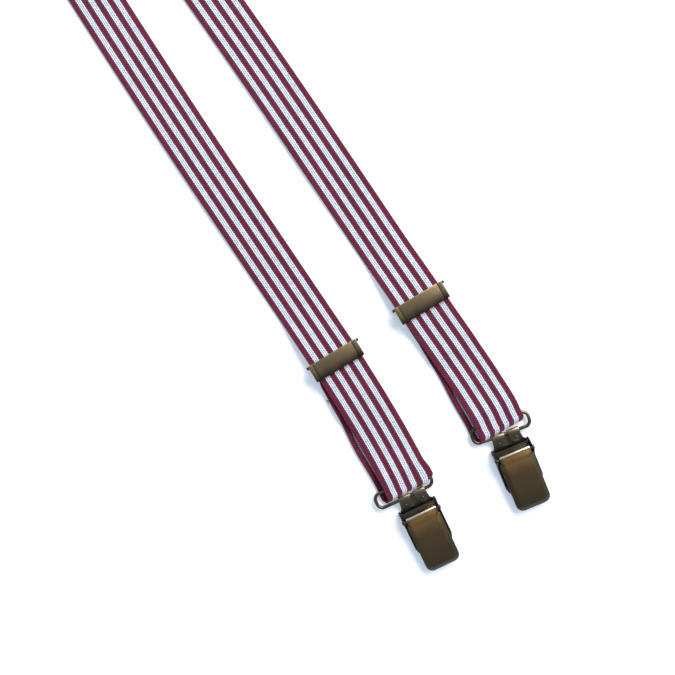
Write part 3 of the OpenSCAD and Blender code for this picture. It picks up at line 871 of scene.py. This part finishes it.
def base_sheet():
    sheet = add_plane("base_sheet", 2 * PLATE_HALF, BASE_TIP, NECK_FOOT, SHEET / 2)
    pick(sheet, "VERT", lambda place: place.y < BASE_TIP + 0.1 * MM)
    bpy.ops.mesh.bevel(offset=2.2 * MM, segments=2, affect="VERTICES")
    pick(sheet, "EDGE", lambda place: place.y > NECK_FOOT - 0.1 * MM)
    extrude((0, 2 * MM, RING_Z - TAB_RADIUS - SHEET / 2), (NECK_HALF / PLATE_HALF, 1, 1))
    extrude((0, 5 * MM, 0), (TAB_HALF / NECK_HALF, 1, 1))
    for sign in (1, -1):
        cut_across(sheet, (sign * NOTCH_HALF, 0, 0), (1, 0, 0))
    pick(sheet, "EDGE", lambda place: place.y > -0.05 * MM and abs(place.x) > NOTCH_HALF)
    bpy.ops.mesh.spin(steps=9, angle=math.radians(-180), center=(0, 0, RING_Z), axis=(1, 0, 0))
    top = RING_Z + TAB_RADIUS
    pick(sheet, "EDGE", lambda place: abs(place.y) < 0.2 * MM and place.z > top - 0.15 * MM)
    extrude((0, -1.3 * MM, -0.1 * MM))
    extrude((0, -3.6 * MM, -1.45 * MM))
    extrude((0, -0.9 * MM, -0.25 * MM))
    outward(sheet)
    apply_modifier(sheet, "SOLIDIFY", thickness=SHEET, offset=0)
    bevel_edges(sheet, 0.14 * MM, 2, 50)
    return sheet


def outline_plate(name, points, x, thickness):
    """A plate across X: a circle's points are moved to the outline, filled and extruded."""
    clear_selection()
    bpy.ops.mesh.primitive_circle_add(vertices=len(points), radius=1, fill_type="NGON")
    plate = name_piece(name)
    for vertex, (y, z) in zip(plate.data.vertices, points):
        vertex.co = Vector((x, y, z))
    pick(plate, "FACE", lambda place: True)
    extrude((thickness, 0, 0))
    outward(plate)
    bevel_edges(plate, 0.12 * MM, 2, 25)
    return plate


def arc(centre, radius, start, stop, steps):
    return [(centre[0] + radius * math.cos(math.radians(start + (stop - start) * i / steps)),
             centre[1] + radius * math.sin(math.radians(start + (stop - start) * i / steps)))
            for i in range(steps + 1)]


def ear_outline():
    """The ear: low along the plate, and rising to a round eye that holds the pin."""
    eye = arc((LEVER_PIVOT.y, LEVER_PIVOT.z), 1.9 * MM, 10, 170, 12)
    low = [(-15.2, 1.9), (-25.5, 1.5), (-27.2, 0.02), (-5.8, 0.02), (-5.4, 2.6)]
    return eye + [(y * MM, z * MM) for y, z in low]


def dimple(x):
    clear_selection()
    bpy.ops.mesh.primitive_uv_sphere_add(segments=20, ring_count=12, radius=0.62 * MM,
                                         location=(x, DIMPLE.y, DIMPLE.z - 0.18 * MM))
    bpy.context.object.scale = (1, 1, 0.75)
    return name_piece("dimple")


def clip_base_pattern():
    pieces = [base_sheet()]
    for sign in (1, -1):
        x = 9.4 * MM if sign > 0 else -10.2 * MM
        pieces.append(outline_plate("ear", ear_outline(), x, 0.8 * MM))
        pieces.append(dimple(sign * DIMPLE.x))
    base = join(pieces)
    smooth(base)
    keep_measures(base)
    give(base, BASE_BRASS)
    return base


fit_copies(clip_base_pattern(), CLIP_FRAME, "clip_plate", "clip", "brass_frame", "clip_base")

# %% [markdown]
# The lever is the part that is seen most: a pressed cover with a flat face, sloping sides,
# round lower corners and a rolled top edge. It starts as a plane, whose lower corners are
# rounded with a vertex bevel. Inset makes the flat face inside the slope, the outline is
# drawn down for the walls, and a few cuts let the face follow its long shallow curve.

# %% Lever covers
COVER_TOP, COVER_TIP = -12.6 * MM, -39.4 * MM
COVER_HALF, ROLL_HALF = 9.1 * MM, 8.2 * MM
SLOPE = 2.2 * MM
ROLL_Y, ROLL_Z, ROLL_RADIUS = -10.0 * MM, 6.3 * MM, 0.78 * MM
STRIP_END = -15.6 * MM


def cover_roof(y):
    """Height of the cover's face along its length, a shallow arch that falls to the tip."""
    down = (COVER_TOP - y) / (COVER_TOP - COVER_TIP)
    return (7.05 + 0.5 * down - 2.2 * down ** 2.0) * MM


def cover_pattern():
    cover = add_plane("cover_pattern", 2 * COVER_HALF, COVER_TIP, COVER_TOP)
    pick(cover, "VERT", lambda place: place.y < COVER_TIP + 0.1 * MM)
    bpy.ops.mesh.bevel(offset=3.6 * MM, segments=6, affect="VERTICES")
    pick(cover, "VERT", lambda place: place.y > COVER_TOP - 0.1 * MM)
    bpy.ops.mesh.bevel(offset=1.2 * MM, segments=4, affect="VERTICES")
    pick(cover, "FACE", lambda place: True)
    bpy.ops.mesh.inset(thickness=SLOPE, depth=0)
    bpy.ops.transform.translate(value=(0, 0, 1.5 * MM))
    # The face runs on up to the rolled edge
    pick(cover, "EDGE", lambda place: place.z > 1.4 * MM and place.y > COVER_TOP - SLOPE - 0.3 * MM
         and abs(place.x) < 5 * MM)
    bpy.ops.transform.translate(value=(0, 0.6 * MM, 0))
    # The outline is drawn down to make the walls
    pick(cover, "EDGE", lambda place: False)
    bpy.ops.mesh.select_non_manifold()
    extrude((0, 0, -1.3 * MM))
    for i in range(1, 12):
        cut_across(cover, (0, COVER_TOP + (COVER_TIP - COVER_TOP) * i / 12, 0), (0, 1, 0))
    crown = 0.28 * MM
    for vertex in cover.data.vertices:
        place = vertex.co
        roof = cover_roof(place.y) - 1.5 * MM - crown * (place.x / COVER_HALF) ** 2
        if place.z < -0.5 * MM and place.y > -20 * MM:
            place.z += 0.3 * MM
        place.z += roof
    outward(cover)
    bevel_edges(cover, 0.62 * MM, 4, 22)
    apply_modifier(cover, "SOLIDIFY", thickness=SHEET, offset=-1)
    return cover


def rolled_edge():
    """The top of the lever: a strip from the cover to a rolled edge round the pin."""
    roll = add_rod("roll", ROLL_RADIUS, 2 * ROLL_HALF, 0.12 * MM, (0, ROLL_Y, ROLL_Z))
    strip = add_plane("strip", 2 * ROLL_HALF, STRIP_END, ROLL_Y)
    for i in range(1, 10):
        cut_across(strip, (0, ROLL_Y + (STRIP_END - ROLL_Y) * i / 10, 0), (0, 1, 0))
    crest = ROLL_Z + ROLL_RADIUS - 0.12 * MM
    meeting = -13.9 * MM
    for vertex in strip.data.vertices:
        place = vertex.co
        share = ease((ROLL_Y - place.y) / (ROLL_Y - meeting))
        sink = 0.3 * max(0, meeting - place.y)
        place.x *= 1 - 0.18 * ease((-12.5 * MM - place.y) / (1.7 * MM))
        place.z = crest + (cover_roof(min(place.y, meeting)) - crest) * share - sink
    outward(strip)
    apply_modifier(strip, "SOLIDIFY", thickness=SHEET, offset=-1)
    bevel_edges(strip, 0.1 * MM, 2, 70)
    return [roll, strip]


def lever_pattern():
    """The cover, its rolled edge, and the barrel that turns on the pin underneath."""
    lever = join([cover_pattern(), *rolled_edge(),
                  add_rod("barrel", 1.3 * MM, 16 * MM, 0.15 * MM, LEVER_PIVOT)])
    smooth(lever, 35)
    keep_measures(lever)
    give(lever, COVER_BRASS)
    return lever


fit_copies(lever_pattern(), CLIP_FRAME, "lever_cover", "lever", "brass_cover", "clip_lever")

# %% [markdown]
# The adjuster's plate is a shallow pressing as well: a long plate whose upper edge is rolled
# round the hinge pin, with a groove near each end and ends that curve down to the ears. It
# is a plane cut at the grooves, and the points along the cuts are pushed down.

# %% Adjuster plates
PLATE_W, PLATE_L = 27.6 * MM, 9.0 * MM
GROOVE_X = 11.3 * MM
PLATE_Y, PLATE_TOP = -0.1 * MM, 7.05 * MM


def adjuster_plate_pattern():
    plate = add_plane("adjuster_pattern", PLATE_W, PLATE_Y - PLATE_L / 2,
                      PLATE_Y + PLATE_L / 2, PLATE_TOP)
    for sign in (1, -1):
        for x in (GROOVE_X - 0.35 * MM, GROOVE_X, GROOVE_X + 0.35 * MM, 13.0 * MM):
            cut_across(plate, (sign * x, 0, 0), (1, 0, 0))
    for i in range(1, 6):
        cut_across(plate, (0, (0.5 - i / 6) * PLATE_L, 0), (0, 1, 0))
    pick(plate, "EDGE", lambda place: place.y < -PLATE_L / 2 and abs(place.x) < 14 * MM)
    extrude((0, -0.25 * MM, -0.45 * MM))
    pick(plate, "EDGE", lambda place: abs(place.x) > PLATE_W / 2 - 0.01 * MM)
    extrude((0, 0, -0.8 * MM), (1.01, 1, 1))
    bpy.ops.object.mode_set(mode="OBJECT")
    for vertex in plate.data.vertices:
        place = vertex.co
        groove = max(0, 1 - abs(abs(place.x) - GROOVE_X) / (0.3 * MM))
        place.z -= 0.1 * MM * groove
        place.z -= 0.15 * max(0, -place.y) + 0.15 * MM * (place.x / PLATE_W * 2) ** 4
    outward(plate)
    apply_modifier(plate, "SOLIDIFY", thickness=0.55 * MM, offset=-1)
    bevel_edges(plate, 0.13 * MM, 3, 20)
    roll = add_rod("roll", 0.85 * MM, PLATE_W - 0.2 * MM, 0.1 * MM,
                   (0, 3.65 * MM, PLATE_TOP - 1.0 * MM))
    flanges = [outline_plate("flange", [(y * MM, z * MM) for y, z in
                             ((4.4, 6.9), (4.7, 5.2), (3.6, 4.7), (-3.4, 5.3), (-4.3, 6.3))],
                             x, 0.5 * MM) for x in (13.4 * MM, -13.9 * MM)]
    plate = join([plate, roll, *flanges])
    smooth(plate, 35)
    keep_measures(plate)
    give(plate, PLATE_BRASS)
    return plate


fit_copies(adjuster_plate_pattern(), ADJUSTER_FRAME, "adjuster_cover", "adjuster_plate",
           "brass_cover", "adjuster_lever")

# %% [markdown]
# The pins, frames, jaws and grip pads already have their true shape in the working model,
# so they stay, and only get their finish.

# %% Finish of the carried-over parts
# The jaws take the darker brass, which also paints shade into the clip's hollow.
CARRIED = {"adjuster_frame": FRAME_BRASS, "adjuster_pin": DARK_BRASS, "clip_pin": FRAME_BRASS,
           "clip_jaw": DARK_BRASS, "back_pad": RUBBER, "front_pad": RUBBER}
for node_name, node in frame["nodes"].items():
    for part, material in CARRIED.items():
        if node_name.split("_", 1)[1] == part:
            give(node, material)
print("carried-over parts finished")

# %% [markdown]
# The sewn end is held by two rows of stitches. Every stitch is the same short rounded bar
# of thread: one is modelled, and copies are set out in rows, each sunk a little into the
# webbing, and joined.

# %% End stitching
STITCH_L, STITCH_R = 2.0 * MM, 0.24 * MM
ROW_STITCHES = 9
UNDER_LAYERS, OVER_LAYERS = 0.19, 2.58


def stitch_pattern(name, length, radius):
    stitch = add_rod(name, radius, length, radius * 0.8, sides=10)
    smooth(stitch, 60)
    return stitch


def stitches(name, pattern, places, material):
    """Copies of one stitch, each at a place with a turn about Z, joined into one piece."""
    copies = []
    for i, (place, turn) in enumerate(places):
        at = Matrix.Translation(place) @ Matrix.Rotation(turn, 4, "Z")
        copies.append(set_down(pattern, f"{name}_{i}", at))
    thread = join(copies)
    thread.name = thread.data.name = name
    give(thread, material)
    return thread


def sewn_middle(side, y):
    """The middle of the returning layer at y, where the end is sewn down."""
    return strap_x(side, y) - slip(side, y)


stitch = stitch_pattern("stitch_pattern", STITCH_L, STITCH_R)
for side in SIDES:
    places = []
    for y in (-18.6, -20.6):
        for i in range(ROW_STITCHES):
            x = sewn_middle(side, y) + (i - 4) * 2.3
            places += [(laid_at(x, y, z), 0) for z in (UNDER_LAYERS, OVER_LAYERS)]
    thread = stitches(f"{side}_end_thread", stitch, places, WHITE_THREAD)
    fit(thread, f"{side}_adjuster", "thread_white", f"{side}_end_stitching")
# A few loose yarns stand out at the corner of the left end
tuft = stitch_pattern("tuft_pattern", 2.4 * MM, 0.13 * MM)
places = [(laid_at(sewn_middle("left", y) - STRAP_W / 2 / MM - 0.1, y, 0.75 + 0.2 * i), turn)
          for i, (y, turn) in enumerate(((-15.4, 2.6), (-15.9, 3.0), (-16.4, 3.5), (-16.1, 2.2)))]
ends = stitches("left_end_tuft", tuft, places, WINE_THREAD)
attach(ends, "left_adjuster")
bpy.data.objects.remove(tuft)
places = [(laid_at((i - 4) * 2.5, BACK_FOLD - y, OVER_LAYERS - 0.02), 0)
          for y in (23, 25) for i in range(ROW_STITCHES)]
thread = stitches("back_end_thread", stitch, places, WHITE_THREAD)
fit(thread, "root", "thread_white", "back_end_stitching")
bpy.data.objects.remove(stitch)
print("stitch rows set down")

# %% [markdown]
# The patch joins the straps behind the wearer's shoulders. Its outline is a function: half
# the width at each place down its length. Leather and lining are grids shaped by it; the
# leather lies higher, over the straps beneath.

# %% Leather patch
PATCH_Y0 = SHOULDER_RUN - 2
PATCH_Y1 = PATCH_Y0 + PATCH_LENGTH
PATCH_HALF = 30
WAIST = PATCH_Y0 + 0.42 * PATCH_LENGTH
PATCH_KNOTS = [(PATCH_Y1, 12.5), (PATCH_Y1 - 6, 16.5), (WAIST, 28.5), (WAIST - 8, PATCH_HALF),
               (PATCH_Y0, PATCH_HALF)]
SEAM_INSET, SEAM_PITCH, SEAM_Z = 2.6, 3.6, 3.78
SEAM_GROOVE, GROOVE_HALF = 0.22, 0.7


def patch_half(y):
    """Half the patch's width at y: straight runs with a little rounding at the corners."""
    for (y_high, w_high), (y_low, w_low) in zip(PATCH_KNOTS, PATCH_KNOTS[1:]):
        if y >= y_low:
            return w_high + (w_low - w_high) * (y_high - y) / (y_high - y_low)
    return PATCH_KNOTS[-1][1]


def corner_cut(y, radius=4):
    """How far the patch's front corners are drawn in, so that they are round."""
    near = min(radius, max(0, y - PATCH_Y0))
    return radius - math.sqrt(max(0, radius ** 2 - (radius - near) ** 2))


def patch_sheet(name, z, thickness, inset, material):
    clear_selection()
    bpy.ops.mesh.primitive_grid_add(x_subdivisions=60, y_subdivisions=72, size=1)
    sheet = name_piece(name)
    for vertex in sheet.data.vertices:
        x, y = vertex.co.x * 2, PATCH_Y0 + inset + (vertex.co.y + 0.5) * (PATCH_LENGTH - 2 * inset)
        half = patch_half(y) - inset - corner_cut(y)
        spot = x * half
        rise = 0.16 * math.cos(spot / 9.5) * math.sin((y - PATCH_Y0) / 15)
        from_edge = (half - abs(spot) + inset, y - PATCH_Y0, PATCH_Y1 - y)
        from_seam = min(abs(distance - SEAM_INSET) for distance in from_edge)
        groove = SEAM_GROOVE * max(0, 1 - from_seam / GROOVE_HALF)
        vertex.co = laid_at(spot, y, z + (rise - groove if name == "patch_top" else 0))
    apply_modifier(sheet, "SOLIDIFY", thickness=thickness, offset=-1)
    bevel_edges(sheet, 0.32 * MM, 3, 60)
    outward(sheet)
    smooth(sheet, 50)
    give(sheet, material)
    return sheet


def patch_stitch_places():
    """Stitches at an even pitch round the outline, a little inside it."""
    front, back = PATCH_Y0 + SEAM_INSET, PATCH_Y1 - SEAM_INSET
    left_side = [(SEAM_INSET - patch_half(y), y) for y in run(front, back, 1)]
    back_half, front_half = patch_half(back) - SEAM_INSET, PATCH_HALF - SEAM_INSET
    outline = left_side + [(x, back) for x in run(-back_half, back_half, 1)][1:]
    outline += [(-x, y) for x, y in reversed(left_side)]
    outline += [(x, front) for x in run(front_half, -front_half, 1)][1:]
    places, left_over = [], 0
    for (x0, y0), (x1, y1) in zip(outline, outline[1:]):
        step = math.hypot(x1 - x0, y1 - y0)
        while left_over <= step:
            share = left_over / step
            place = laid_at(x0 + (x1 - x0) * share, y0 + (y1 - y0) * share, SEAM_Z)
            places.append((place, math.atan2(y1 - y0, x1 - x0)))
            left_over += SEAM_PITCH
        left_over -= step
    return places


lining = patch_sheet("patch_flesh", 1.2, 1.1 * MM, 0.3, LINING)
fit(lining, "root", "leather", "patch_lining")
top = patch_sheet("patch_top", 3.75, 1.2 * MM, 0.0, LEATHER)
fit(top, "root", "leather", "patch_leather")
stitch = stitch_pattern("patch_stitch_pattern", 2.8 * MM, 0.3 * MM)
seam = stitches("patch_thread", stitch, patch_stitch_places(), CREAM_THREAD)
fit(seam, "root", "thread_cream", "patch_stitching")
bpy.data.objects.remove(stitch)
print("patch stitched")
